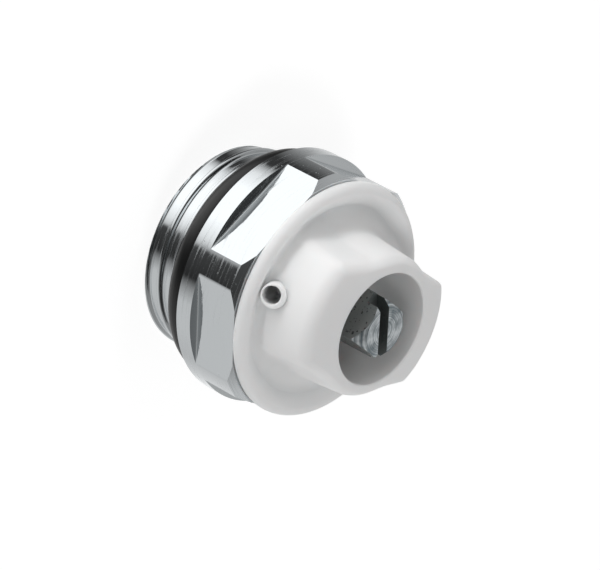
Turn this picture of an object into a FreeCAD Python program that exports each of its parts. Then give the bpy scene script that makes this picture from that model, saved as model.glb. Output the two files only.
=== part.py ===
import FreeCAD, Part

import math
import os

# Radiator bleed plug: a screwed brass plug with a swivelling plastic outlet collar
# and a vent screw with a square head. Millimetres, Z up along the common axis.
# The origin is the centre of the plug's threaded end, on which the plug stands.

# Male thread, drawn as the plain cylinder over its crests, and the neck above it
thread_crest_radius = 10.4775
thread_length = 4.2
thread_end_chamfer = 0.5
neck_length = 2.8
neck_undercut = 1.162
neck_corner_radius = 0.25

# Plug body outside
hex_sides = 6
hex_across_flats = 23.0
flat_depth = 1.15
body_length = 6.7
rim_length = 1.95
rim_edge_chamfer = 0.05
body_front_chamfer = 0.6
hex_foot_radius = 0.1

# Inlet side of the plug body
inlet_recess_radius = 6.8
inlet_recess_depth = 1.6
inlet_corner_radius = 0.4
seat_hole_radius = 1.6
seat_thickness = 1.6

# Clearances
running_clearance = 0.05
axial_clearance = 0.1
shank_end_gap = 0.5
ring_side_gap = 0.15
ring_seat_gap = 0.01
seat_gap = 0.03

# Collar shank with its snap bead
shoulder_radius = 9.0
shoulder_length = 1.8
shank_radius = 8.1
shank_length = 4.9
shank_lead = 0.3
bead_height = 0.3
bead_width = 0.6
bead_from_end = 0.7

# Seals
body_ring_thickness = 2.62
shank_ring_thickness = 1.4
shank_ring_from_shoulder = 1.0
screw_ring_thickness = 1.1
screw_ring_from_floor = 2.6

# Collar flange
flange_radius = 11.9
flange_thickness = 1.05
flange_back_radius = 0.15
flange_edge_radius = 0.85
dish_width = 2.2
dish_depth = 0.25

# Collar tube and grip bar
collar_angle = 153.9
collar_height = 7.77
mouth_radius = 5.65
mouth_edge_chamfer = 0.3
key_bore_depth = 7.57
tube_wall = 1.4
crown_slope = 0.27
wall_draft = 0.08
grip_end_inset = 2.6
grip_side_inset = 0.2
grip_taper = 0.234
grip_corner_radius = 0.7
grip_corner_foot_radius = 0.4
grip_root_radius = 2.0
top_edge_radius = 0.8
scoop_radius = 2.4
foot_radius = 0.95
foot_spread = 1.3
foot_sink = 0.03

# Outlet of the collar
outlet_tilt = 59.5
outlet_radius = 0.88
outlet_depth = 3.8
outlet_inner_radius = 0.5
outlet_reach = 1.15
outlet_height = 2.23
lip_wall = 0.34
lip_offset = 0.17
lip_length = 1.6
lip_flare = 0.07
lip_edge_radius = 0.12
duct_radius = 0.65
duct_place = 5.5

# Vent screw
screw_angle = 46.1
screw_stand_out = 0.38
square_across_flats = 5.0
square_length = 6.0
square_bar_radius = 3.5
screw_face_radius = 2.45
slot_width = 1.2
slot_depth = 1.6
slot_angle = 45.0
slot_offset = 0.2
seal_head_radius = 4.0
seal_head_length = 2.8
seal_head_chamfer = 0.25
screw_neck_radius = 3.2
vent_thread_radius = 4.0
vent_thread_lead = 0.6
vent_thread_from_seat = 1.4
vent_thread_from_top = 0.4
cone_tip_radius = 0.7
cone_radius = 2.6
vent_groove_width = 1.2
vent_groove_depth = 1.1

# Sizes that follow from those above
neck_radius = thread_crest_radius - neck_undercut
body_radius = hex_across_flats / 2 + flat_depth
seat_z = inlet_recess_depth + seat_thickness
body_back_z = thread_length + neck_length
body_front_z = body_back_z + body_length
collar_back_z = body_front_z + axial_clearance
shoulder_bottom_z = collar_back_z - shoulder_length
shank_end_z = collar_back_z - shank_length
flange_top_z = collar_back_z + flange_thickness
dish_z = flange_top_z - dish_depth
crest_radius = flange_radius - flange_edge_radius
valley_radius = flange_radius - dish_width
bore_floor_z = shank_end_z - shank_end_gap
bead_low_z = shank_end_z + bead_from_end - bead_width / 2
bead_high_z = bead_low_z + bead_width
shank_ring_z = shoulder_bottom_z - shank_ring_from_shoulder
mouth_z = collar_back_z + collar_height
key_floor_z = mouth_z - key_bore_depth
tube_radius = mouth_radius + tube_wall
grip_half_width = tube_radius - grip_side_inset
grip_end_radius = flange_radius - grip_end_inset
grip_foot_radius = grip_end_radius + wall_draft * (mouth_z - dish_z)
screw_ring_z = key_floor_z - screw_ring_from_floor
screw_top_z = mouth_z + screw_stand_out
seal_bore_radius = seal_head_radius + running_clearance

AXIS = FreeCAD.Vector(0, 0, 1)
ORIGIN = FreeCAD.Vector(0, 0, 0)
OVERRUN = 1.0
TOUCHING = 0.001


def corner_arc(before, corner, after, radius):
    """The three points of the arc that rounds one corner of an outline."""
    to_before = (before - corner).normalize()
    to_after = (after - corner).normalize()
    half_angle = to_before.getAngle(to_after) / 2
    start = corner + to_before * (radius / math.tan(half_angle))
    end = corner + to_after * (radius / math.tan(half_angle))
    centre = corner + (to_before + to_after).normalize() * (radius / math.sin(half_angle))
    middle = centre + (corner - centre).normalize() * radius
    return start, middle, end


def outline(corners, place):
    """A closed wire through (x, y) or (x, y, rounding radius) corners."""
    points = [place(corner[0], corner[1]) for corner in corners]
    radii = [corner[2] if len(corner) > 2 else 0 for corner in corners]
    edges = []
    spans = []
    for index, point in enumerate(points):
        if radii[index]:
            before = points[index - 1]
            after = points[(index + 1) % len(points)]
            spans.append(corner_arc(before, point, after, radii[index]))
        else:
            spans.append((point,))
    for index, span in enumerate(spans):
        if len(span) > 1:
            edges.append(Part.Arc(*span).toShape())
        following = spans[(index + 1) % len(spans)][0]
        edges.append(Part.LineSegment(span[-1], following).toShape())
    return Part.Wire(edges)


def in_section(radius, height):
    """A point of a section through the axis."""
    return FreeCAD.Vector(radius, 0, height)


def turned(corners):
    """A solid of revolution about the Z axis from (radius, height) corners."""
    return Part.Face(outline(corners, in_section)).revolve(ORIGIN, AXIS, 360)


def seal_ring(inner_radius, thickness, height):
    """An O-ring about the Z axis."""
    half = thickness / 2
    return Part.makeTorus(inner_radius + half, half, FreeCAD.Vector(0, 0, height), AXIS)


def milled_flat_cutter():
    """What one milled flat of the hexagon takes away, its flat facing +X."""
    flat = hex_across_flats / 2
    reach = body_radius + OVERRUN
    step_z = body_back_z + rim_length
    top_z = body_front_z + OVERRUN
    section = [(flat, top_z), (flat, step_z, hex_foot_radius), (reach, step_z), (reach, top_z)]
    face = Part.Face(outline(section, in_section))
    face.translate(FreeCAD.Vector(0, -body_radius, 0))
    return face.extrude(FreeCAD.Vector(0, 2 * body_radius, 0))


def plug_body():
    """The turned and milled brass body."""
    bore = shank_radius + running_clearance
    shoulder = shoulder_radius + running_clearance
    shoulder_z = shoulder_bottom_z - axial_clearance
    groove = bore + bead_height
    body = turned([
        (seat_hole_radius, inlet_recess_depth),
        (inlet_recess_radius, inlet_recess_depth, inlet_corner_radius),
        (inlet_recess_radius, 0),
        (thread_crest_radius - thread_end_chamfer, 0),
        (thread_crest_radius, thread_end_chamfer),
        (thread_crest_radius, thread_length),
        (neck_radius, thread_length, neck_corner_radius),
        (neck_radius, body_back_z, neck_corner_radius),
        (body_radius - rim_edge_chamfer, body_back_z),
        (body_radius, body_back_z + rim_edge_chamfer),
        (body_radius, body_front_z - body_front_chamfer),
        (body_radius - body_front_chamfer, body_front_z),
        (shoulder, body_front_z),
        (shoulder, shoulder_z),
        (bore, shoulder_z),
        (bore, bead_high_z + axial_clearance),
        (groove, bead_high_z + axial_clearance),
        (groove, bead_low_z - axial_clearance),
        (bore, bead_low_z - axial_clearance),
        (bore, bore_floor_z),
        (vent_thread_radius, bore_floor_z),
        (vent_thread_radius, seat_z),
        (seat_hole_radius, seat_z),
    ])
    for side in range(hex_sides):
        cutter = milled_flat_cutter()
        cutter.rotate(ORIGIN, AXIS, side * 360 / hex_sides)
        body = body.cut(cutter)
    return body


def body_oring():
    """The seal between the plug and the radiator, on the neck behind the hexagon."""
    height = body_back_z - body_ring_thickness / 2 - ring_seat_gap
    return seal_ring(neck_radius + ring_seat_gap, body_ring_thickness, height)


def grip_prism(end, bottom, top):
    """The grip bar's tapered and drafted sides, longer than the bar."""
    wires = []
    for height in (bottom, top):
        middle = grip_half_width + wall_draft * (top - height)
        tip = middle - grip_taper * end
        corners = [(end, -tip), (end, tip), (0, middle), (-end, tip), (-end, -tip), (0, -middle)]
        wires.append(outline(corners, lambda x, y: FreeCAD.Vector(x, y, height)))
    return Part.makeLoft(wires, True, True)


def drafted_round(radius, bottom, top):
    """A round column that narrows upwards by the wall draft."""
    foot = radius + wall_draft * (top - bottom)
    return Part.makeCone(foot, radius, top - bottom, FreeCAD.Vector(0, 0, bottom), AXIS)


def edge_middle(edge):
    """The point half way along an edge."""
    return edge.valueAt((edge.FirstParameter + edge.LastParameter) / 2)


def edges_where(shape, test):
    """The edges of a shape that pass a test of edge, middle radius and middle height."""
    chosen = []
    for edge in shape.Edges:
        middle = edge_middle(edge)
        faces = shape.ancestorsOfType(edge, Part.Face)
        between_faces = len(faces) == 2 and not faces[0].isSame(faces[1])
        if between_faces and test(edge, math.hypot(middle.x, middle.y), middle.z):
            chosen.append(edge)
    return chosen


def scooped_column(bottom, reach):
    """The tube and an overlong grip bar on a plate, with the wide scoop round their foot."""
    corner_limit = (tube_radius + grip_end_radius) / 2
    tall = (mouth_z - bottom) / 2
    bar = grip_prism(reach + OVERRUN, bottom, mouth_z)
    column = drafted_round(tube_radius, bottom, mouth_z).fuse(bar).removeSplitter()

    def is_root(edge, distance, height):
        return edge.BoundBox.ZLength > tall and distance < corner_limit

    def is_foot(edge, distance, height):
        flat = edge.BoundBox.ZLength < TOUCHING
        return flat and abs(height - dish_z) < TOUCHING and distance < reach - TOUCHING

    column = column.makeFillet(grip_root_radius, edges_where(column, is_root))
    around = FreeCAD.Vector(0, 0, bottom)
    column = column.common(Part.makeCylinder(reach, mouth_z, around))
    plate = Part.makeCylinder(reach, dish_z - bottom, around)
    standing = plate.fuse(column).removeSplitter()
    return standing.makeFillet(scoop_radius, edges_where(standing, is_foot))


def bar_end_envelope(bottom):
    """The turned form inside which the bar's round ends, their feet and the crown lie."""
    dish_slope = dish_depth / (crest_radius - valley_radius)
    crown_drop = crown_slope * (grip_end_radius - mouth_radius)
    foot_z = dish_z + dish_slope * (grip_foot_radius - valley_radius) - foot_sink
    return turned([
        (0, bottom),
        (grip_foot_radius + foot_spread, bottom),
        (grip_foot_radius + foot_spread, foot_z + dish_slope * foot_spread),
        (grip_foot_radius, foot_z, foot_radius),
        (grip_end_radius + wall_draft * crown_drop, mouth_z - crown_drop),
        (mouth_radius, mouth_z),
        (0, mouth_z),
    ])


def fillet_by_vertex(shape, edges, radius_at):
    """The shape with a fillet whose radius follows a rule of its edges' end points."""
    document = FreeCAD.newDocument()
    blank = document.addObject("Part::Feature")
    blank.Shape = shape
    fillet = document.addObject("Part::Fillet")
    fillet.Base = blank
    rows = []
    for number, edge in enumerate(shape.Edges, 1):
        if any(edge.isSame(chosen) for chosen in edges):
            radii = [radius_at(vertex.Point) for vertex in (edge.Vertexes[0], edge.Vertexes[-1])]
            rows.append((number, radii[0], radii[1]))
    fillet.Edges = rows
    document.recompute()
    return fillet.Shape.copy()


def collar_column():
    """The collar's tube and grip bar with their scooped foot and rounded upper edges."""
    bottom = collar_back_z + flange_thickness / 2
    reach = flange_radius + OVERRUN
    foot_middle = grip_foot_radius + foot_radius / 2
    crown_low_z = mouth_z - crown_slope * (reach - mouth_radius)
    column = scooped_column(bottom, reach).common(bar_end_envelope(bottom)).removeSplitter()

    def is_end_ridge(edge, distance, height):
        upright = edge.BoundBox.ZLength > foot_sink
        return upright and grip_end_radius < distance < grip_foot_radius + foot_spread - TOUCHING

    def ridge_radius(point):
        outside = math.hypot(point.x, point.y) > foot_middle
        return grip_corner_foot_radius if outside else grip_corner_radius

    def is_rim(edge, distance, height):
        return edge.BoundBox.ZMin > crown_low_z and height < mouth_z - TOUCHING

    column = fillet_by_vertex(column, edges_where(column, is_end_ridge), ridge_radius)
    return column.makeFillet(top_edge_radius, edges_where(column, is_rim))


def collar_base():
    """The collar's flange and its shank with the snap bead and the seal groove."""
    bead_radius = shank_radius + bead_height - running_clearance
    groove_radius = shank_radius - shank_ring_thickness
    groove_half = shank_ring_thickness / 2 + ring_side_gap
    return turned([
        (0, shank_end_z),
        (shank_radius - shank_lead, shank_end_z),
        (shank_radius, shank_end_z + shank_lead),
        (shank_radius, bead_low_z),
        (bead_radius, bead_low_z),
        (bead_radius, bead_high_z),
        (shank_radius, bead_high_z),
        (shank_radius, shank_ring_z - groove_half),
        (groove_radius, shank_ring_z - groove_half),
        (groove_radius, shank_ring_z + groove_half),
        (shank_radius, shank_ring_z + groove_half),
        (shank_radius, shoulder_bottom_z),
        (shoulder_radius, shoulder_bottom_z),
        (shoulder_radius, collar_back_z),
        (flange_radius, collar_back_z, flange_back_radius),
        (flange_radius, flange_top_z, flange_edge_radius),
        (crest_radius - TOUCHING, flange_top_z),
        (valley_radius, dish_z),
        (0, dish_z),
    ])


def along_outlet(distance, aside=0):
    """A point on the outlet's axis, outwards from its mouth, or beside it towards the crown."""
    tilt = math.radians(outlet_tilt)
    radius = grip_end_radius + outlet_reach + distance * math.sin(tilt) - aside * math.cos(tilt)
    height = outlet_height + distance * math.cos(tilt) + aside * math.sin(tilt)
    return FreeCAD.Vector(radius, 0, collar_back_z + height)


def outlet_axis():
    """The direction in which the outlet points."""
    tilt = math.radians(outlet_tilt)
    return FreeCAD.Vector(math.sin(tilt), 0, math.cos(tilt))


def outlet_lip():
    """The raised lip round the outlet, a little off its centre, with a rounded mouth edge."""
    mouth = outlet_radius + lip_wall
    start = along_outlet(-lip_length, lip_offset)
    lip = Part.makeCone(mouth + lip_flare, mouth, lip_length, start, outlet_axis())
    middle = along_outlet(0, lip_offset)
    rim = [edge for edge in lip.Edges if edge.CenterOfMass.distanceToPoint(middle) < TOUCHING]
    return lip.makeFillet(lip_edge_radius, rim)


def outlet_passage():
    """The slanting outlet hole, its narrow inner end and the duct that feeds it from below."""
    depth = (grip_end_radius + outlet_reach - duct_place) / math.sin(math.radians(outlet_tilt))
    knee = along_outlet(-depth)
    start = along_outlet(-outlet_depth)
    wide = Part.makeCylinder(outlet_radius, outlet_depth + OVERRUN, start, outlet_axis())
    narrow = Part.makeCylinder(outlet_inner_radius, depth, knee, outlet_axis())
    foot = FreeCAD.Vector(duct_place, 0, shank_end_z - OVERRUN)
    upright = Part.makeCylinder(duct_radius, knee.z - foot.z, foot, AXIS)
    return wide.fuse(narrow).fuse(upright).fuse(Part.makeSphere(duct_radius, knee))


def swivel_collar():
    """The moulded collar, turned to its place on the plug."""
    # The column's plate ends level with the dish, so this join needs a tolerance
    collar = collar_base().fuse(collar_column(), TOUCHING)
    collar = collar.fuse(outlet_lip())
    collar = collar.cut(turned([
        (0, shank_end_z - OVERRUN),
        (seal_bore_radius, shank_end_z - OVERRUN),
        (seal_bore_radius, key_floor_z),
        (mouth_radius, key_floor_z),
        (mouth_radius, mouth_z - mouth_edge_chamfer),
        (mouth_radius + mouth_edge_chamfer, mouth_z),
        (mouth_radius + mouth_edge_chamfer, mouth_z + OVERRUN),
        (0, mouth_z + OVERRUN),
    ]))
    collar = collar.cut(outlet_passage())
    collar.rotate(ORIGIN, AXIS, collar_angle)
    return collar


def collar_oring():
    """The seal between the collar's shank and the plug."""
    inner = shank_radius - shank_ring_thickness + ring_seat_gap
    return seal_ring(inner, shank_ring_thickness, shank_ring_z)


def screw_blank():
    """The turned blank of the vent screw, with its cone, thread and seal head."""
    thread = vent_thread_radius - running_clearance
    thread_low = seat_z + vent_thread_from_seat
    thread_high = bore_floor_z - vent_thread_from_top
    head_low = screw_ring_z - seal_head_length / 2
    head_high = screw_ring_z + seal_head_length / 2
    groove = seal_head_radius - screw_ring_thickness
    groove_half = screw_ring_thickness / 2 + ring_side_gap
    cone_z = seat_z + seat_gap - (seat_hole_radius - cone_tip_radius)
    return turned([
        (0, cone_z),
        (cone_tip_radius, cone_z),
        (cone_radius, cone_z + cone_radius - cone_tip_radius),
        (cone_radius, thread_low),
        (thread - vent_thread_lead, thread_low),
        (thread, thread_low + vent_thread_lead),
        (thread, thread_high),
        (screw_neck_radius, thread_high + thread - screw_neck_radius),
        (screw_neck_radius, head_low),
        (seal_head_radius - seal_head_chamfer, head_low),
        (seal_head_radius, head_low + seal_head_chamfer),
        (seal_head_radius, screw_ring_z - groove_half),
        (groove, screw_ring_z - groove_half),
        (groove, screw_ring_z + groove_half),
        (seal_head_radius, screw_ring_z + groove_half),
        (seal_head_radius, head_high - seal_head_chamfer),
        (seal_head_radius - seal_head_chamfer, head_high),
        (square_bar_radius, head_high),
        (square_bar_radius, screw_top_z - (square_bar_radius - screw_face_radius)),
        (screw_face_radius, screw_top_z),
        (0, screw_top_z),
    ])


def centred_box(length, width, bottom, top):
    """A box round the Z axis between two heights."""
    corner = FreeCAD.Vector(-length / 2, -width / 2, bottom)
    return Part.makeBox(length, width, top - bottom, corner)


def vent_screw():
    """The vent screw: seat cone, thread, seal head, square head and slot."""
    across = square_across_flats
    wide = 2 * (square_bar_radius + OVERRUN)
    high = screw_top_z + OVERRUN
    square_low = screw_top_z - square_length
    square = centred_box(across, across, square_low, high)
    around_square = centred_box(wide, wide, square_low, high).cut(square)
    slot = centred_box(wide, slot_width, screw_top_z - slot_depth, high)
    slot.translate(FreeCAD.Vector(0, slot_offset, 0))
    slot.rotate(ORIGIN, AXIS, slot_angle)
    groove_floor = vent_thread_radius - running_clearance - vent_groove_depth
    groove_low = seat_z + vent_thread_from_seat
    groove_high = bore_floor_z - vent_thread_from_top + vent_groove_depth
    groove_corner = FreeCAD.Vector(groove_floor, -vent_groove_width / 2, groove_low)
    vent_groove = Part.makeBox(wide, vent_groove_width, groove_high - groove_low, groove_corner)
    screw = screw_blank().cut(around_square).cut(slot).cut(vent_groove)
    screw.rotate(ORIGIN, AXIS, screw_angle)
    return screw


def screw_oring():
    """The seal between the vent screw and the collar."""
    inner = seal_head_radius - screw_ring_thickness + ring_seat_gap
    return seal_ring(inner, screw_ring_thickness, screw_ring_z)


parts = {
    "plug_body": plug_body(),
    "body_oring": body_oring(),
    "swivel_collar": swivel_collar(),
    "collar_oring": collar_oring(),
    "vent_screw": vent_screw(),
    "screw_oring": screw_oring(),
}
os.makedirs("parts", exist_ok=True)
for name, shape in parts.items():
    print(name, shape.isValid(), len(shape.Solids), round(shape.Volume, 2))
    shape.exportStep("parts/" + name + ".step")
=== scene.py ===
import math
import bmesh
import bpy
import numpy as np
from mathutils import Matrix, Vector


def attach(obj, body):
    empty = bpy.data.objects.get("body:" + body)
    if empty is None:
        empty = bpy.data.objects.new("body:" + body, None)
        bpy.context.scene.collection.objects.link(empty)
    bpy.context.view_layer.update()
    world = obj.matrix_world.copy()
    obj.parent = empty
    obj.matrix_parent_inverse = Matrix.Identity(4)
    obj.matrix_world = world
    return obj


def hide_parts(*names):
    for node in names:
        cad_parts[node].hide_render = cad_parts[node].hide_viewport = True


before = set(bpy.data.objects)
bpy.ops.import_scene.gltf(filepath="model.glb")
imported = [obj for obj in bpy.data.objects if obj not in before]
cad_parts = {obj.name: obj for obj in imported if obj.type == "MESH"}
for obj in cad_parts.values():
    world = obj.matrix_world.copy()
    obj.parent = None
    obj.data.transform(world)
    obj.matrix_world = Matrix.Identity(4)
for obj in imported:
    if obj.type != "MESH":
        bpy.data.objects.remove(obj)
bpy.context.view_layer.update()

MM = 0.001

# Camera: it stands where the photograph's stood, and a point of the plug's axis lands on its pixel
IMAGE_WIDTH = 600
IMAGE_HEIGHT = 570
FOCAL_PIXELS = 4009.0
VIEW_AZIMUTH = math.radians(142.9)
VIEW_ELEVATION = math.radians(36.83)
VIEW_ROLL = math.radians(118.17)
VIEW_DEPTH = 373.9 * MM
AXIS_POINT = Vector((0, 0, 21.5 * MM))
AXIS_PIXEL = (381.46, 329.45)
SENSOR_WIDTH = 36.0
NEAREST_SEEN = 0.01

# Male pipe thread in millimetres: G 1/2 by its crests and pitch, cut shallow with wide flat roots
THREAD_PITCH = 1.814
THREAD_CREST = 10.4775
THREAD_ROOT = 10.08
CREST_FLAT = 0.3
CREST_ROUNDING = 0.12
ROOT_ROUNDING = 0.14
FLANK_ANGLE = math.radians(27.5)
THREAD_END = 4.2
THREAD_END_CHAMFER = 0.25
THREAD_ROW = 0.035
CREST_HEIGHT_AT_ZERO = 1.205

# Neck, rim and front of the brass plug in millimetres
NECK_RADIUS = 9.3155
NECK_ROUNDING = 0.25
RIM_RADIUS = 12.65
RIM_BACK = 7.0
RIM_EDGE = 0.05
FRONT = 13.7
FRONT_CHAMFER = 0.6
ROUNDING_STEPS = 5
METAL_EDGE_ANGLE = math.radians(24)

# Milled flats, not quite even, as (middle in degrees, distance from the axis and foot height in millimetres)
FLATS = [(0, 11.5, 8.95), (60, 11.6, 8.95), (120.7, 11.35, 9.05), (181.2, 11.69, 8.87), (240, 11.5, 8.95),
         (300, 11.5, 8.95)]
FLAT_FOOT_ROUNDING = 0.1
FLAT_FOOT_STEPS = 4
FLAT_REACH = math.radians(60)

# Columns of the plug's mesh: across a flat, in each of its chamfered corners and across a land between two
FLAT_COLUMNS = 24
CORNER_COLUMNS = 6
LAND_COLUMNS = 12

# The plug's inside in millimetres, as (radius, height) corners from its front to its inlet
SOCKET_RADIUS = 9.05
SOCKET_FLOOR = 11.9
PLUG_BORE = 8.15
PLUG_BORE_FLOOR = 8.4
BEAD_GROOVE_RADIUS = 8.45
BEAD_GROOVE_LOW = 9.2
BEAD_GROOVE_HIGH = 10.0
SCREW_HOLE = 4.0
SEAT_HEIGHT = 3.2
SEAT_HOLE = 1.6
INLET_RADIUS = 6.8
INLET_DEPTH = 1.6
INLET_ROUNDING = 0.4
PLUG_INSIDE = [(SOCKET_RADIUS, FRONT), (SOCKET_RADIUS, SOCKET_FLOOR), (PLUG_BORE, SOCKET_FLOOR),
               (PLUG_BORE, BEAD_GROOVE_HIGH), (BEAD_GROOVE_RADIUS, BEAD_GROOVE_HIGH),
               (BEAD_GROOVE_RADIUS, BEAD_GROOVE_LOW), (PLUG_BORE, BEAD_GROOVE_LOW),
               (PLUG_BORE, PLUG_BORE_FLOOR), (SCREW_HOLE, PLUG_BORE_FLOOR), (SCREW_HOLE, SEAT_HEIGHT),
               (SEAT_HOLE, SEAT_HEIGHT), (SEAT_HOLE, INLET_DEPTH)]

# The collar's flange in millimetres, with the valley inside its crest
COLLAR_ANGLE = math.radians(153.9)
COLLAR_BACK = 13.8
FLANGE_RADIUS = 11.9
FLANGE_TOP = 14.85
FLANGE_CREST = 11.05
FLANGE_EDGE = 0.85
FLANGE_UNDER = 0.15
DISH_WIDTH = 1.5
DISH_DEPTH = 0.76

# The collar's tube and grip bar in millimetres at the mouth's height; drafts, taper and slope are gradients
MOUTH_HEIGHT = 21.57
MOUTH_RADIUS = 5.65
MOUTH_CHAMFER = 0.1
TUBE_RADIUS = 7.05
GRIP_HALF_WIDTH = 6.85
GRIP_END_RADIUS = 9.36
GRIP_TAPER = 0.234
WALL_DRAFT = 0.08
END_DRAFT = 0.01
CROWN_SLOPE = 0.27

# Rounding of the collar's creases, ridges, upper edges and feet in millimetres; near means beside the outlet
GRIP_ROOT = 0.12
NEAR_RIDGE = 0.45
FAR_RIDGE = 0.15
NEAR_EDGE = 1.1
FAR_EDGE = 0.4
SIDE_EDGE = 0.8
END_FOOT = 1.2
SIDE_SCOOP = 2.2
NEAR_BLEND = (-2, 2)
SIDE_BLEND_DEGREES = (22, 50)

# The collar's upper mesh: rays in even steps from a ring inside its wall, each halved down to the surface
CORE_RADIUS = 6.3
CORE_HEIGHT = 12.0
RAY_LENGTH = 14
HALVINGS = 40
COLLAR_COLUMNS = 360
COLLAR_ROWS = 185
PLASTIC_EDGE_ANGLE = math.radians(38)

# The collar's inside and shank, as (radius, height) corners from its mouth down and round to the flange
BORE_TOP = 21.44
KEY_SOCKET_FLOOR = 14.0
SCREW_BORE = 4.05
SHANK_RADIUS = 8.1
SHANK_END = 8.9
SHANK_CHAMFER = 0.3
BEAD_RADIUS = 8.35
BEAD_LOW = 9.3
BEAD_HIGH = 9.9
SEAL_GROOVE_RADIUS = 6.7
SEAL_GROOVE_LOW = 10.15
SEAL_GROOVE_HIGH = 11.85
SHOULDER_RADIUS = 9.0
SHOULDER_LOW = 12.0
FLANGE_UNDER_EDGE = [(11.75, COLLAR_BACK), (11.83, 13.82), (11.88, 13.87)]
COLLAR_INSIDE = [(MOUTH_RADIUS, BORE_TOP), (MOUTH_RADIUS, KEY_SOCKET_FLOOR), (SCREW_BORE, KEY_SOCKET_FLOOR),
                 (SCREW_BORE, SHANK_END), (SHANK_RADIUS - SHANK_CHAMFER, SHANK_END),
                 (SHANK_RADIUS, SHANK_END + SHANK_CHAMFER), (SHANK_RADIUS, BEAD_LOW),
                 (BEAD_RADIUS, BEAD_LOW), (BEAD_RADIUS, BEAD_HIGH), (SHANK_RADIUS, BEAD_HIGH),
                 (SHANK_RADIUS, SEAL_GROOVE_LOW), (SEAL_GROOVE_RADIUS, SEAL_GROOVE_LOW),
                 (SEAL_GROOVE_RADIUS, SEAL_GROOVE_HIGH), (SHANK_RADIUS, SEAL_GROOVE_HIGH),
                 (SHANK_RADIUS, SHOULDER_LOW), (SHOULDER_RADIUS, SHOULDER_LOW),
                 (SHOULDER_RADIUS, COLLAR_BACK), *FLANGE_UNDER_EDGE]

# Outlet in millimetres: its mouth's place, its tilt, and its lip and passage as (distance, aside, radius)
OUTLET_RADIUS_PLACE = 10.45
OUTLET_HEIGHT = 16.03
OUTLET_TILT = math.radians(59.5)
OUTLET_RINGS = [(-6.2, 0, 0.95), (-1.7, 0, 0.95), (-1.6, 0.17, 1.29), (-0.15, 0.17, 1.225),
                (-0.05, 0.17, 1.18), (0, 0.17, 1.08), (0, 0, 0.93), (-0.05, 0, 0.88), (-4, 0, 0.85),
                (-6, 0, 0.6)]
OUTLET_COLUMNS = 64

# Hole that is cut through the collar's wall for the outlet's tube
OUTLET_HOLE_RINGS = [(1.5, 0, 1.0), (-6.5, 0, 1.0)]
OUTLET_HOLE_COLUMNS = 48

# Share of the chrome's pits on the lands between the flats, from a height in millimetres up, and elsewhere
LAND_PITS = 1.0
OTHER_PITS = 0.25
PITTED_FROM = 9.0
LAND_MARGIN = 0.05

# Surface patterns of the metals in metres; the materials' notes say which are drawn coarser than they are
TURNING_PITCH = 0.25 * MM
MARK_LENGTH = 6 * MM
MARK_DEPTH = 0.004 * MM
PIT_SIZE = 0.28 * MM
PIT_DEPTH_IN_MARKS = 4.0
PIT_ROUGHNESS = 0.35
FACE_RING_PITCH = 0.2 * MM
FACE_RING_SHIFT = 0.25 * MM
FACE_RING_DEPTH = 0.02 * MM
FACE_WOBBLE = 2.5 * MM
SCRATCH_SIZE = 1.2 * MM
FLAKE_SIZE = 0.3 * MM

# Surface patterns of the moulded pieces in metres
PLASTIC_GRAIN = 0.5 * MM
RUBBER_GRAIN = 0.2 * MM
GRAIN_DEPTH = 0.004 * MM

# The screw's slot, for its painted shade: direction across it, distance from the axis, half width and floor
SLOT_NORMAL = (math.cos(math.radians(181.1)), math.sin(math.radians(181.1)), 0)
SLOT_OFFSET = 0.2 * MM
SLOT_HALF_WIDTH = 0.61 * MM
SLOT_FLOOR = 20.3 * MM

# Paper room round the object in metres; the floor's glow adds to what the lamps give it, up to white
ROOM_SIZE = 4.0
FLOOR_GLOW = 0.84
FLOOR_COLOUR = 0.3
WALL_GLOW = 1.0
WALL_COLOUR = 0.0

# Lamps as (name, azimuth and elevation in degrees, power in watts)
LAMPS = [("key", 100, -14, 0.5), ("low_fill", 190, -14, 0.24), ("front_fill", 160, 35, 0.16),
         ("bore_fill", 85, 55, 0.1), ("top_fill", 220, 65, 0.31)]
LAMP_DISTANCE = 0.4
LAMP_SIZE = 0.1

# Brightness of the studio as (azimuth in degrees, brightness): below the object's level, at it and above it
LOW_RING = [(0, 0.58), (24, 0.25), (42, 0.045), (56, 0.05), (62, 0.6), (70, 1.1), (90, 1.5), (126, 1.5),
            (144, 1.1), (151, 0.75), (155, 0.065), (182, 0.03), (192, 0.38), (205, 0.7), (230, 0.71),
            (262, 0.62), (288, 0.8), (308, 1.1), (320, 0.8), (345, 0.74), (360, 0.58)]
MIDDLE_RING = [(0, 0.5), (54, 0.55), (70, 1.2), (90, 0.9), (126, 0.9), (150, 0.45), (156, 0.06), (182, 0.05),
               (200, 0.4), (240, 0.68), (300, 0.7), (345, 0.5), (360, 0.5)]
HIGH_RING = [(0, 0.3), (35, 0.5), (60, 0.4), (80, 0.05), (130, 0.1), (180, 0.05), (230, 0.25), (280, 0.36),
             (325, 0.55), (345, 0.55), (360, 0.4)]
CEILING_RING = [(0, 0.45), (360, 0.45)]

# Where each ring takes over from the one below it, as the sines of two elevations
RING_BLENDS = [(-0.35, 0.2, MIDDLE_RING), (0.25, 0.55, HIGH_RING), (0.88, 1.0, CEILING_RING)]
WORLD_STRENGTH = 1.5


def direction(azimuth, elevation):
    """The unit vector that points at an azimuth and elevation."""
    return Vector((math.cos(elevation) * math.cos(azimuth), math.cos(elevation) * math.sin(azimuth),
                   math.sin(elevation)))


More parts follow.
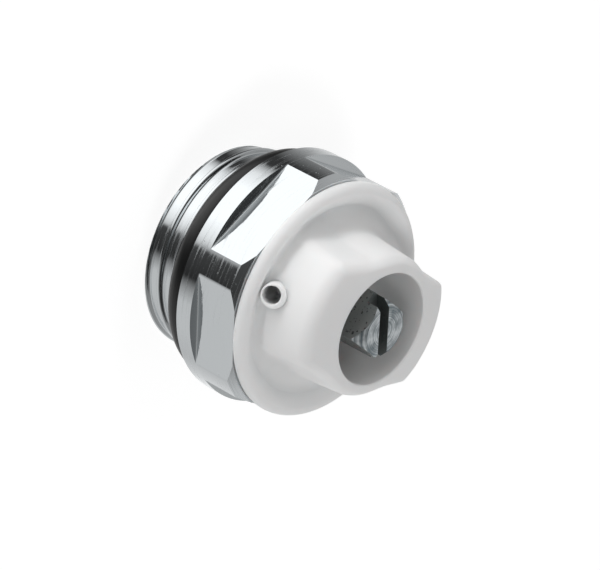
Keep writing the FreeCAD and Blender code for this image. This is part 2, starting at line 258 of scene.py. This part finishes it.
def add_camera():
    """Puts the camera so that a point of the plug's axis lands on its pixel."""
    outward = direction(VIEW_AZIMUTH, VIEW_ELEVATION)
    level = Vector((-math.sin(VIEW_AZIMUTH), math.cos(VIEW_AZIMUTH), 0))
    upright = outward.cross(level)
    right = level * math.cos(VIEW_ROLL) + upright * math.sin(VIEW_ROLL)
    up = upright * math.cos(VIEW_ROLL) - level * math.sin(VIEW_ROLL)
    pixel = VIEW_DEPTH / FOCAL_PIXELS
    across = (AXIS_PIXEL[0] - IMAGE_WIDTH / 2) * pixel
    down = (AXIS_PIXEL[1] - IMAGE_HEIGHT / 2) * pixel
    place = AXIS_POINT + outward * VIEW_DEPTH - right * across + up * down
    data = bpy.data.cameras.new("camera")
    data.sensor_fit = "HORIZONTAL"
    data.sensor_width = SENSOR_WIDTH
    data.lens = FOCAL_PIXELS / IMAGE_WIDTH * SENSOR_WIDTH
    data.clip_start = NEAREST_SEEN
    camera = bpy.data.objects.new("camera", data)
    camera.matrix_world = Matrix.Translation(place) @ Matrix((right, up, outward)).transposed().to_4x4()
    bpy.context.scene.collection.objects.link(camera)
    bpy.context.scene.camera = camera


def linear(colour):
    """An sRGB hex colour as linear red, green, blue and alpha."""
    channels = []
    for start in (0, 2, 4):
        value = int(colour[start:start + 2], 16) / 255
        channels.append(value / 12.92 if value <= 0.04045 else ((value + 0.055) / 1.055) ** 2.4)
    return (*channels, 1)


def add_node(tree, kind, settings=None, links=None):
    """Adds a node; settings are its properties or input values, links are sockets for its inputs.

    A number stands for an input by its place, where several inputs share a name.
    """
    node = tree.nodes.new(kind)
    for name, value in (settings or {}).items():
        if isinstance(name, int) or name in node.inputs.keys():
            node.inputs[name].default_value = value
        else:
            setattr(node, name, value)
    for name, socket in (links or {}).items():
        tree.links.new(socket, node.inputs[name])
    return node


def new_material(name):
    """An empty node material and its tree."""
    material = bpy.data.materials.new(name)
    material.use_nodes = True
    material.node_tree.nodes.clear()
    return material, material.node_tree


def rounding(before, corner, after, radius, steps):
    """Points of the arc that rounds a corner of a section."""
    corner, before, after = Vector(corner), Vector(before), Vector(after)
    to_before = (before - corner).normalized()
    to_after = (after - corner).normalized()
    half = to_before.angle(to_after) / 2
    centre = corner + (to_before + to_after).normalized() * (radius / math.sin(half))
    start = corner + to_before * (radius / math.tan(half))
    end = corner + to_after * (radius / math.tan(half))
    first, last = start - centre, end - centre
    turn = math.pi - 2 * half
    points = []
    for step in range(steps + 1):
        share = step / steps
        spoke = (first * math.sin((1 - share) * turn) + last * math.sin(share * turn)) / math.sin(turn)
        points.append(tuple(centre + spoke))
    return points


def thread_form():
    """Half a pitch of the thread's section as (distance from the crest, radius) points."""
    flank = (THREAD_CREST - THREAD_ROOT) * math.tan(FLANK_ANGLE)
    crest = (0, THREAD_CREST)
    crest_corner = (CREST_FLAT / 2, THREAD_CREST)
    root_corner = (CREST_FLAT / 2 + flank, THREAD_ROOT)
    root = (THREAD_PITCH / 2, THREAD_ROOT)
    upper = rounding(crest, crest_corner, root_corner, CREST_ROUNDING, 3)
    lower = rounding(crest_corner, root_corner, root, ROOT_ROUNDING, 6)
    return [crest] + upper + lower + [root]


def thread_radius(form, offset):
    """Radius of the thread at an axial distance from one of its crests."""
    half = THREAD_PITCH / 2
    distance = abs((offset + half) % THREAD_PITCH - half)
    for near, far in zip(form, form[1:]):
        if distance <= far[0]:
            return near[1] + (far[1] - near[1]) * (distance - near[0]) / (far[0] - near[0])
    return THREAD_ROOT


def thread_points(form, angle):
    """The thread's section at an angle round the axis, with a chamfer at both ends."""
    crest = CREST_HEIGHT_AT_ZERO + THREAD_PITCH * angle / math.tau
    rows = round(THREAD_END / THREAD_ROW)
    points = []
    for row in range(rows + 1):
        height = THREAD_END * row / rows
        start_cone = THREAD_ROOT + height
        end_cone = THREAD_CREST - THREAD_END_CHAMFER + THREAD_END - height
        points.append((min(thread_radius(form, height - crest), start_cone, end_cone), height))
    return points


def flat_at(angle):
    """The flat that a ray from the axis meets first: its lean to the ray, distance and foot height."""
    met = []
    for middle, distance, foot in FLATS:
        lean = math.cos(angle - math.radians(middle))
        if lean > math.cos(FLAT_REACH):
            met.append((distance / lean, lean, distance, foot))
    return min(met)[1:]


def step_points(lean, distance, foot):
    """The milled step from the rim in to a flat, along a ray that leans to the flat."""
    outer = RIM_RADIUS * lean
    arc = rounding((outer + 1, foot), (distance, foot), (distance, foot + 1), FLAT_FOOT_ROUNDING,
                   FLAT_FOOT_STEPS)
    return [(RIM_RADIUS, foot)] + [(min(away, outer) / lean, height) for away, height in arc]


def plug_section(form, angle):
    """The closed section of the plug at an angle round its axis, as (radius, height) points."""
    lean, distance, foot = flat_at(angle)
    flat = min(distance / lean, RIM_RADIUS)
    front_radius = RIM_RADIUS - FRONT_CHAMFER
    low, high = (NECK_RADIUS, THREAD_END), (NECK_RADIUS, RIM_BACK)
    neck = rounding((THREAD_CREST, THREAD_END), low, high, NECK_ROUNDING, ROUNDING_STEPS)
    neck += rounding(low, high, (RIM_RADIUS, RIM_BACK), NECK_ROUNDING, ROUNDING_STEPS)
    rim = [(RIM_RADIUS - RIM_EDGE, RIM_BACK), (RIM_RADIUS, RIM_BACK + RIM_EDGE)]
    front = [(flat, FRONT - max(flat - front_radius, 0)), (min(flat, front_radius), FRONT)]
    outside = thread_points(form, angle) + neck + rim + step_points(lean, distance, foot) + front
    inlet = rounding(PLUG_INSIDE[-1], (INLET_RADIUS, INLET_DEPTH), (INLET_RADIUS, 0), INLET_ROUNDING,
                     ROUNDING_STEPS)
    return [(INLET_RADIUS, 0)] + outside + PLUG_INSIDE + inlet


def plug_angles():
    """Angles round the plug at which its section is taken, with each edge of the flats among them."""
    counts = [CORNER_COLUMNS, FLAT_COLUMNS, CORNER_COLUMNS, LAND_COLUMNS]
    angles = []
    for index, (middle, distance, foot) in enumerate(FLATS):
        middle = math.radians(middle)
        edge = math.acos(distance / RIM_RADIUS)
        front = math.acos(distance / (RIM_RADIUS - FRONT_CHAMFER))
        next_middle, next_distance, next_foot = FLATS[(index + 1) % len(FLATS)]
        next_start = math.radians(next_middle) - math.acos(next_distance / RIM_RADIUS)
        next_start += math.tau if next_start < middle else 0
        marks = [middle - edge, middle - front, middle + front, middle + edge, next_start]
        for start, end, count in zip(marks, marks[1:], counts):
            angles += [start + (end - start) * step / count for step in range(count)]
    return angles + [angles[0] + math.tau]


def pit_share(place):
    """How pitted the chrome is at a place in millimetres: most on the lands between the flats."""
    radius = math.hypot(place.x, place.y)
    on_land = radius > RIM_RADIUS - LAND_MARGIN and place.z > PITTED_FROM
    return LAND_PITS if on_land else OTHER_PITS


def add_plug():
    """The brass plug with its helical thread, one closed mesh."""
    form = thread_form()
    mesh = bpy.data.meshes.new("chromed_plug")
    work = bmesh.new()
    columns = []
    for angle in plug_angles():
        column = []
        for radius, height in plug_section(form, angle):
            place = (radius * math.cos(angle) * MM, radius * math.sin(angle) * MM, height * MM)
            column.append(work.verts.new(place))
        columns.append(column)
    for near, far in zip(columns, columns[1:]):
        for index in range(len(near)):
            following = (index + 1) % len(near)
            work.faces.new((near[index], far[index], far[following], near[following]))
    bmesh.ops.remove_doubles(work, verts=work.verts, dist=1e-6)
    bmesh.ops.dissolve_degenerate(work, edges=work.edges, dist=1e-7)
    bmesh.ops.recalc_face_normals(work, faces=work.faces)
    work.to_mesh(mesh)
    work.free()
    mesh.shade_smooth()
    mesh.set_sharp_from_angle(angle=METAL_EDGE_ANGLE)
    worn = mesh.attributes.new("worn", "FLOAT", "POINT")
    for point in mesh.vertices:
        worn.data[point.index].value = pit_share(point.co / MM)
    plug = bpy.data.objects.new("chromed_plug", mesh)
    bpy.context.scene.collection.objects.link(plug)
    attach(plug, "plug")
    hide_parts("plug_body")
    return plug


def round_join(first, second, radius):
    """The union of two forms, given by their distances, with the crease between them filled to a radius."""
    reach = np.hypot(np.maximum(radius - first, 0), np.maximum(radius - second, 0))
    return np.maximum(radius, np.minimum(first, second)) - reach


def round_meet(first, second, radius):
    """The intersection of two forms, given by their distances, with the edge between them rounded."""
    reach = np.hypot(np.maximum(radius + first, 0), np.maximum(radius + second, 0))
    return np.minimum(-radius, np.maximum(first, second)) + reach


def smooth_step(value, start, end):
    """0 before the start, 1 after the end and a smooth ramp between them."""
    share = np.clip((value - start) / (end - start), 0, 1)
    return share * share * (3 - 2 * share)


def collar_form(along, across, height):
    """Distance outside the collar's upper form, from places along and across its grip bar."""
    radius = np.hypot(along, across)
    depth = MOUTH_HEIGHT - height
    side_share = smooth_step(np.degrees(np.arctan2(np.abs(across), np.abs(along))), *SIDE_BLEND_DEGREES)
    near_share = smooth_step(along, *NEAR_BLEND)
    tube = radius - (TUBE_RADIUS + WALL_DRAFT * depth)
    side = np.abs(across) + GRIP_TAPER * np.abs(along) - GRIP_HALF_WIDTH - WALL_DRAFT * depth
    side = side / math.hypot(1, GRIP_TAPER)
    end = radius - (GRIP_END_RADIUS + END_DRAFT * depth)
    bar = round_meet(side, end, FAR_RIDGE + (NEAR_RIDGE - FAR_RIDGE) * near_share)
    column = round_join(tube, bar, GRIP_ROOT)
    crown = (height - MOUTH_HEIGHT + CROWN_SLOPE * (radius - MOUTH_RADIUS)) / math.hypot(1, CROWN_SLOPE)
    end_edge = FAR_EDGE + (NEAR_EDGE - FAR_EDGE) * near_share
    column = round_meet(column, crown, end_edge + (SIDE_EDGE - end_edge) * side_share)
    dip = (1 - np.cos(math.pi * np.clip((FLANGE_CREST - radius) / DISH_WIDTH, 0, 1))) / 2
    flange = round_meet(radius - FLANGE_RADIUS, height - FLANGE_TOP + DISH_DEPTH * dip, FLANGE_EDGE)
    return round_join(flange, column, END_FOOT + (SIDE_SCOOP - END_FOOT) * side_share)


def collar_sections():
    """Radii and heights of the collar's upper surface, a row per angle round it, from rim to mouth."""
    low = math.atan2(COLLAR_BACK + FLANGE_UNDER - CORE_HEIGHT, FLANGE_RADIUS - CORE_RADIUS)
    mouth_edge = MOUTH_RADIUS + MOUTH_CHAMFER
    mouth_height = MOUTH_HEIGHT - CROWN_SLOPE * MOUTH_CHAMFER
    high = math.atan2(mouth_height - CORE_HEIGHT, mouth_edge - CORE_RADIUS)
    turns = np.arange(COLLAR_COLUMNS)[:, None] * math.tau / COLLAR_COLUMNS
    climbs = np.linspace(low, high, COLLAR_ROWS)[None, :]
    near = np.zeros((COLLAR_COLUMNS, COLLAR_ROWS))
    far = near + RAY_LENGTH
    for halving in range(HALVINGS):
        middle = (near + far) / 2
        radius = CORE_RADIUS + middle * np.cos(climbs)
        height = CORE_HEIGHT + middle * np.sin(climbs)
        inside = collar_form(radius * np.cos(turns), radius * np.sin(turns), height) < 0
        near = np.where(inside, middle, near)
        far = np.where(inside, far, middle)
    return radius, height


def outlet_point(distance, aside, radius, angle):
    """A point on a circle round the outlet's axis, whose middle may lie aside towards the crown."""
    outward = Vector((math.sin(OUTLET_TILT), 0, math.cos(OUTLET_TILT)))
    crownward = Vector((-math.cos(OUTLET_TILT), 0, math.sin(OUTLET_TILT)))
    mouth = Vector((OUTLET_RADIUS_PLACE, 0, OUTLET_HEIGHT))
    ring = crownward * math.cos(angle) + Vector((0, 1, 0)) * math.sin(angle)
    return mouth + outward * distance + crownward * aside + ring * radius


def add_rings(work, rings, count, turn):
    """Adds a closed tube through (distance, aside, radius) rings of the outlet to a mesh."""
    rows = []
    for distance, aside, radius in rings:
        places = [outlet_point(distance, aside, radius, math.tau * step / count) for step in range(count)]
        rows.append([work.verts.new(turn @ (place * MM)) for place in places])
    for near, far in zip(rows, rows[1:]):
        for step in range(count):
            following = (step + 1) % count
            work.faces.new((near[step], near[following], far[following], far[step]))
    work.faces.new(rows[0])
    work.faces.new(rows[-1])


def mesh_object(name, work):
    """An object from a mesh in progress, with all faces turned outwards."""
    bmesh.ops.recalc_face_normals(work, faces=work.faces)
    mesh = bpy.data.meshes.new(name)
    work.to_mesh(mesh)
    work.free()
    piece = bpy.data.objects.new(name, mesh)
    bpy.context.scene.collection.objects.link(piece)
    return piece


def collar_body(turn):
    """The collar's closed mesh without its outlet, as an object."""
    radii, heights = collar_sections()
    work = bmesh.new()
    columns = []
    for index in range(COLLAR_COLUMNS):
        angle = math.tau * index / COLLAR_COLUMNS
        section = COLLAR_INSIDE + list(zip(radii[index].tolist(), heights[index].tolist()))
        column = []
        for radius, height in section:
            place = Vector((radius * math.cos(angle), radius * math.sin(angle), height))
            column.append(work.verts.new(turn @ (place * MM)))
        columns.append(column)
    for index, near in enumerate(columns):
        far = columns[(index + 1) % COLLAR_COLUMNS]
        for row in range(len(near)):
            following = (row + 1) % len(near)
            work.faces.new((near[row], far[row], far[following], near[following]))
    return mesh_object("moulded_collar", work)


def pierced_mesh(piece, cutter):
    """A new mesh: the piece's with the cutter taken out of it."""
    cut = piece.modifiers.new("outlet", "BOOLEAN")
    cut.operation = "DIFFERENCE"
    cut.solver = "EXACT"
    cut.object = cutter
    mesh = bpy.data.meshes.new_from_object(piece.evaluated_get(bpy.context.evaluated_depsgraph_get()))
    piece.modifiers.clear()
    return mesh


def add_collar():
    """The swivelling collar with its soft-edged grip bar, scooped flange and raised outlet."""
    turn = Matrix.Rotation(COLLAR_ANGLE, 3, "Z")
    collar = collar_body(turn)
    work = bmesh.new()
    add_rings(work, OUTLET_HOLE_RINGS, OUTLET_HOLE_COLUMNS, turn)
    cutter = mesh_object("outlet_cutter", work)
    pierced = pierced_mesh(collar, cutter)
    bpy.data.objects.remove(cutter)
    work = bmesh.new()
    work.from_mesh(pierced)
    add_rings(work, OUTLET_RINGS, OUTLET_COLUMNS, turn)
    bmesh.ops.recalc_face_normals(work, faces=work.faces)
    work.to_mesh(collar.data)
    work.free()
    bpy.data.meshes.remove(pierced)
    collar.data.shade_smooth()
    collar.data.set_sharp_from_angle(angle=PLASTIC_EDGE_ANGLE)
    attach(collar, "collar")
    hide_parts("swivel_collar")
    return collar


def axis_distance(tree, place):
    """How far a place lies from the plug's axis."""
    level = add_node(tree, "ShaderNodeVectorMath", {"operation": "MULTIPLY", 1: (1, 1, 0)}, {0: place})
    length = add_node(tree, "ShaderNodeVectorMath", {"operation": "LENGTH"}, {0: level.outputs["Vector"]})
    return length.outputs["Value"]


def turning_marks(tree, place):
    """Long fine marks round the axis: radius less height changes along every turned face, cones too."""
    axes = add_node(tree, "ShaderNodeSeparateXYZ", links={"Vector": place}).outputs
    travel = add_node(tree, "ShaderNodeMath", {"operation": "SUBTRACT"},
                      {0: axis_distance(tree, place), 1: axes["Z"]})
    around = add_node(tree, "ShaderNodeCombineXYZ",
                      links={"X": travel.outputs[0], "Y": axes["X"], "Z": axes["Y"]})
    stretch = (1 / TURNING_PITCH, 1 / MARK_LENGTH, 1 / MARK_LENGTH)
    along = add_node(tree, "ShaderNodeVectorMath", {"operation": "MULTIPLY", 1: stretch},
                     {0: around.outputs[0]})
    marks = add_node(tree, "ShaderNodeTexNoise", {"Scale": 1.0, "Detail": 2.0},
                     {"Vector": along.outputs["Vector"]})
    return marks.outputs["Fac"]


def plating_pits(tree, place):
    """Small pits, most of them where the mesh says that the chrome is worn."""
    grain = add_node(tree, "ShaderNodeTexNoise", {"Scale": 1 / PIT_SIZE, "Detail": 3.0}, {"Vector": place})
    pits = add_node(tree, "ShaderNodeMapRange", {"From Min": 0.69, "From Max": 0.8},
                    {"Value": grain.outputs["Fac"]})
    worn = add_node(tree, "ShaderNodeAttribute", {"attribute_name": "worn"})
    pitted = add_node(tree, "ShaderNodeMath", {"operation": "MULTIPLY"},
                      {0: pits.outputs["Result"], 1: worn.outputs["Fac"]})
    return pitted.outputs[0]


def chrome():
    """Bright chrome over turned and milled brass: sharp reflections that fine tool marks and pits break up.

    Real turning marks lie about 0.1 mm apart and pits are smaller still; the marks are drawn 0.25 mm apart
    and the pits 0.28 mm, so that they show at this size.
    """
    material, tree = new_material("bright_chrome_on_turned_brass")
    place = add_node(tree, "ShaderNodeTexCoord").outputs["Object"]
    marks = turning_marks(tree, place)
    pits = plating_pits(tree, place)
    height = add_node(tree, "ShaderNodeMath", {"operation": "MULTIPLY_ADD", 1: -PIT_DEPTH_IN_MARKS},
                      {0: pits, 2: marks})
    bump = add_node(tree, "ShaderNodeBump", {"Strength": 1.0, "Distance": MARK_DEPTH},
                    {"Height": height.outputs[0]})
    smear = add_node(tree, "ShaderNodeMapRange",
                     {"From Min": 0.5, "From Max": 0.68, "To Min": 0.07, "To Max": 0.3}, {"Value": marks})
    rough = add_node(tree, "ShaderNodeMath", {"operation": "MULTIPLY_ADD", 1: PIT_ROUGHNESS},
                     {0: pits, 2: smear.outputs["Result"]})
    shader = add_node(tree, "ShaderNodeBsdfPrincipled", {"Base Color": linear("d3d7d9"), "Metallic": 1.0},
                      {"Roughness": rough.outputs[0], "Normal": bump.outputs["Normal"]})
    add_node(tree, "ShaderNodeOutputMaterial", links={"Surface": shader.outputs["BSDF"]})
    return material


def moulded_skin(tree, size, detail):
    """The slight unevenness of a moulded skin, as a normal."""
    place = add_node(tree, "ShaderNodeTexCoord").outputs["Object"]
    grain = add_node(tree, "ShaderNodeTexNoise", {"Scale": 1 / size, "Detail": detail}, {"Vector": place})
    bump = add_node(tree, "ShaderNodeBump", {"Strength": 1.0, "Distance": GRAIN_DEPTH},
                    {"Height": grain.outputs["Fac"]})
    return bump.outputs["Normal"]


def white_plastic():
    """Moulded white plastic: a satin skin, and light that sinks in softens its hollows and its bore.

    The grain of such a skin is about 0.05 mm wide; it is drawn 0.5 mm wide, as a faint waviness that shows.
    """
    material, tree = new_material("moulded_white_plastic")
    shader = add_node(tree, "ShaderNodeBsdfPrincipled",
                      {"Base Color": linear("ebebeb"), "Roughness": 0.5, "IOR": 1.49,
                       "Subsurface Weight": 0.6, "Subsurface Radius": (1.0, 0.91, 0.89),
                       "Subsurface Scale": 1.2 * MM},
                      {"Normal": moulded_skin(tree, PLASTIC_GRAIN, 2.0)})
    add_node(tree, "ShaderNodeOutputMaterial", links={"Surface": shader.outputs["BSDF"]})
    return material


def seal_rubber():
    """Moulded black rubber: a soft sheen on a slightly uneven skin, and next to no colour.

    The grain of such a skin is about 0.05 mm wide; it is drawn 0.2 mm wide so that it shows.
    """
    material, tree = new_material("moulded_black_rubber")
    shader = add_node(tree, "ShaderNodeBsdfPrincipled",
                      {"Base Color": linear("0d0e0e"), "Roughness": 0.35, "IOR": 1.5},
                      {"Normal": moulded_skin(tree, RUBBER_GRAIN, 3.0)})
    add_node(tree, "ShaderNodeOutputMaterial", links={"Surface": shader.outputs["BSDF"]})
    return material


def face_rings(tree, place):
    """Rings from the turning tool round the axis, slightly out of true, that fade in and out."""
    wobble = add_node(tree, "ShaderNodeTexNoise", {"Scale": 1 / FACE_WOBBLE, "Detail": 1.0},
                      {"Vector": place})
    shaken = add_node(tree, "ShaderNodeMath", {"operation": "MULTIPLY_ADD", 1: FACE_RING_SHIFT},
                      {0: wobble.outputs["Fac"], 2: axis_distance(tree, place)})
    rings = add_node(tree, "ShaderNodeTexNoise",
                     {"noise_dimensions": "1D", "Scale": 1 / FACE_RING_PITCH, "Detail": 3.0},
                     {"W": shaken.outputs[0]})
    scratch = add_node(tree, "ShaderNodeTexNoise", {"Scale": 1 / SCRATCH_SIZE, "Detail": 2.0},
                       {"Vector": place})
    broken = add_node(tree, "ShaderNodeMath", {"operation": "MULTIPLY"},
                      {0: rings.outputs["Fac"], 1: scratch.outputs["Fac"]})
    shown = add_node(tree, "ShaderNodeMapRange", {"From Min": 0.14, "From Max": 0.36},
                     {"Value": broken.outputs[0]})
    return shown.outputs["Result"]


def slot_shade_share(tree, place):
    """1 inside the screwdriver slot, where its painted shade goes, and 0 elsewhere."""
    across = add_node(tree, "ShaderNodeVectorMath", {"operation": "DOT_PRODUCT", 1: SLOT_NORMAL},
                      {0: place})
    aside = add_node(tree, "ShaderNodeMath", {"operation": "SUBTRACT", 1: SLOT_OFFSET},
                     {0: across.outputs["Value"]})
    apart = add_node(tree, "ShaderNodeMath", {"operation": "ABSOLUTE"}, {0: aside.outputs[0]})
    between = add_node(tree, "ShaderNodeMath", {"operation": "LESS_THAN", 1: SLOT_HALF_WIDTH},
                       {0: apart.outputs[0]})
    axes = add_node(tree, "ShaderNodeSeparateXYZ", links={"Vector": place}).outputs
    above = add_node(tree, "ShaderNodeMath", {"operation": "GREATER_THAN", 1: SLOT_FLOOR}, {0: axes["Z"]})
    both = add_node(tree, "ShaderNodeMath", {"operation": "MULTIPLY"},
                    {0: between.outputs[0], 1: above.outputs[0]})
    return both.outputs[0]


def plated_screw():
    """Dull plated steel: bluish tool rings on the end face and cone, pitted flats, painted light and shade.

    The real rings lie about 0.1 mm apart and the pits are smaller than that; the rings are drawn 0.2 mm
    apart and the pits 0.3 mm wide so that they show.
    """
    material, tree = new_material("dull_plated_turned_steel")
    place = add_node(tree, "ShaderNodeTexCoord").outputs["Object"]
    rings = face_rings(tree, place)
    surface = add_node(tree, "ShaderNodeNewGeometry")
    normal = add_node(tree, "ShaderNodeSeparateXYZ", links={"Vector": surface.outputs["Normal"]})
    # Painted light: faces that point up, the end face and the cone, get a lighter colour than the side flats
    upward = add_node(tree, "ShaderNodeMapRange", {"From Min": 0.1, "From Max": 0.3},
                      {"Value": normal.outputs["Z"]}).outputs["Result"]
    grain = add_node(tree, "ShaderNodeTexNoise", {"Scale": 1 / FLAKE_SIZE, "Detail": 3.0},
                     {"Vector": place})
    flakes = add_node(tree, "ShaderNodeMapRange", {"From Min": 0.6, "From Max": 0.68},
                      {"Value": grain.outputs["Fac"]}).outputs["Result"]
    relief = add_node(tree, "ShaderNodeMix", {"data_type": "FLOAT"}, {0: upward, 2: flakes, 3: rings})
    bump = add_node(tree, "ShaderNodeBump", {"Strength": 1.0, "Distance": FACE_RING_DEPTH},
                    {"Height": relief.outputs[0]})
    # The side flats' colour, darker at the pits
    flats = add_node(tree, "ShaderNodeMix", {"data_type": "RGBA", 6: linear("b2b6b5"), 7: linear("5f6261")},
                     {0: flakes})
    # Painted light and sheen: the face and cone take a lighter colour, brightest along the tool rings
    faces = add_node(tree, "ShaderNodeMix", {"data_type": "RGBA", 6: linear("8c979c"), 7: linear("f2f7f9")},
                     {0: rings})
    metal = add_node(tree, "ShaderNodeMix", {"data_type": "RGBA"},
                     {0: upward, 6: flats.outputs[2], 7: faces.outputs[2]})
    # Painted shade: the slot takes a plain darker colour than the ringed face round it
    colour = add_node(tree, "ShaderNodeMix", {"data_type": "RGBA", 7: linear("8f9494")},
                      {0: slot_shade_share(tree, place), 6: metal.outputs[2]})
    shader = add_node(tree, "ShaderNodeBsdfPrincipled", {"Metallic": 1.0, "Roughness": 0.55},
                      {"Base Color": colour.outputs[2], "Normal": bump.outputs["Normal"]})
    add_node(tree, "ShaderNodeOutputMaterial", links={"Surface": shader.outputs["BSDF"]})
    return material


def white_paper(name, glow, colour):
    """Paper that camera, mirrors and glass see as white, with the plug's shadow where it has a colour."""
    material, tree = new_material(name)
    rays = add_node(tree, "ShaderNodeLightPath").outputs
    seen = add_node(tree, "ShaderNodeMath", {"operation": "MAXIMUM"},
                    {0: rays["Is Camera Ray"], 1: rays["Is Glossy Ray"]})
    seen = add_node(tree, "ShaderNodeMath", {"operation": "MAXIMUM"},
                    {0: seen.outputs[0], 1: rays["Is Transmission Ray"]})
    strength = add_node(tree, "ShaderNodeMath", {"operation": "MULTIPLY", 1: glow}, {0: seen.outputs[0]})
    paper = add_node(tree, "ShaderNodeBsdfDiffuse", {"Color": (colour, colour, colour, 1)})
    light = add_node(tree, "ShaderNodeEmission", {"Color": (1, 1, 1, 1)}, {"Strength": strength.outputs[0]})
    both = add_node(tree, "ShaderNodeAddShader", links={0: paper.outputs[0], 1: light.outputs[0]})
    add_node(tree, "ShaderNodeOutputMaterial", links={"Surface": both.outputs[0]})
    return material


def add_stage():
    """The paper floor and paper walls round it, which only the camera sees.

    The floor takes the plug's shadow but throws none, so that the lamps below its level light the plug.
    """
    half = ROOM_SIZE / 2
    corners = [(-half, -half, 0), (half, -half, 0), (half, half, 0), (-half, half, 0)]
    tops = [(x, y, half) for x, y, z in corners]
    walls = [(side, (side + 1) % 4, (side + 1) % 4 + 4, side + 4) for side in range(4)]
    floor_paper = white_paper("white_paper_floor", FLOOR_GLOW, FLOOR_COLOUR)
    wall_paper = white_paper("white_paper_walls", WALL_GLOW, WALL_COLOUR)
    for name, points, faces, paper in (("floor", corners, [(0, 1, 2, 3)], floor_paper),
                                       ("walls", corners + tops, walls, wall_paper)):
        mesh = bpy.data.meshes.new(name)
        mesh.from_pydata(points, [], faces)
        mesh.materials.append(paper)
        piece = bpy.data.objects.new(name, mesh)
        bpy.context.scene.collection.objects.link(piece)
        piece.visible_glossy = False
        piece.visible_diffuse = False
        piece.visible_shadow = False


def ring_ramp(tree, turn, ring):
    """A colour ramp that gives the brightness of the studio round the object at one height."""
    node = add_node(tree, "ShaderNodeValToRGB", links={"Fac": turn})
    stops = node.color_ramp.elements
    for index, (angle, value) in enumerate(ring):
        stop = stops[index] if index < 2 else stops.new(angle / 360)
        stop.position = angle / 360
        level = value / WORLD_STRENGTH
        stop.color = (level, level, level, 1)
    return node.outputs["Color"]


def add_world():
    """Studio surroundings, which the chrome shows: white screens, grey walls and two dark gaps."""
    world = bpy.data.worlds.new("studio")
    bpy.context.scene.world = world
    world.use_nodes = True
    tree = world.node_tree
    tree.nodes.clear()
    place = add_node(tree, "ShaderNodeTexCoord")
    axes = add_node(tree, "ShaderNodeSeparateXYZ", links={"Vector": place.outputs["Generated"]}).outputs
    angle = add_node(tree, "ShaderNodeMath", {"operation": "ARCTAN2"}, {0: axes["Y"], 1: axes["X"]})
    turn = add_node(tree, "ShaderNodeMath", {"operation": "MULTIPLY_ADD", 1: 1 / math.tau, 2: 1.0},
                    {0: angle.outputs[0]})
    part = add_node(tree, "ShaderNodeMath", {"operation": "FRACT"}, {0: turn.outputs[0]}).outputs[0]
    shade = ring_ramp(tree, part, LOW_RING)
    for start, end, ring in RING_BLENDS:
        share = add_node(tree, "ShaderNodeMapRange", {"From Min": start, "From Max": end},
                         {"Value": axes["Z"]})
        blend = add_node(tree, "ShaderNodeMix", {"data_type": "RGBA"},
                         {0: share.outputs["Result"], 6: shade, 7: ring_ramp(tree, part, ring)})
        shade = blend.outputs[2]
    sky = add_node(tree, "ShaderNodeBackground", {"Strength": WORLD_STRENGTH}, {"Color": shade})
    add_node(tree, "ShaderNodeOutputWorld", links={"Surface": sky.outputs[0]})


def add_lamps():
    """Soft round lamps that light the collar; the chrome shows the studio's screens in their place.

    The key and the low fill stand below the flange's level: their light passes over the flange's crest and
    leaves the valley inside it in shade.
    """
    for name, azimuth, elevation, power in LAMPS:
        data = bpy.data.lights.new(name, "AREA")
        data.shape = "DISK"
        data.size = LAMP_SIZE
        data.energy = power
        lamp = bpy.data.objects.new(name, data)
        outward = direction(math.radians(azimuth), math.radians(elevation))
        lamp.location = Vector((0, 0, FRONT * MM)) + outward * LAMP_DISTANCE
        lamp.rotation_euler = outward.to_track_quat("Z", "Y").to_euler()
        lamp.visible_glossy = False
        bpy.context.scene.collection.objects.link(lamp)


def dress(node, material):
    """Gives a CAD node a material."""
    for slot in bpy.data.objects[node].material_slots:
        slot.material = material


add_camera()
add_world()
add_stage()
add_lamps()
plug = add_plug()
plug.data.materials.append(chrome())
collar = add_collar()
collar.data.materials.append(white_plastic())
rubber = seal_rubber()
for ring_node in ("body_oring", "collar_oring", "screw_oring"):
    dress(ring_node, rubber)
dress("vent_screw", plated_screw())
bpy.context.scene.view_settings.view_transform = "Standard"
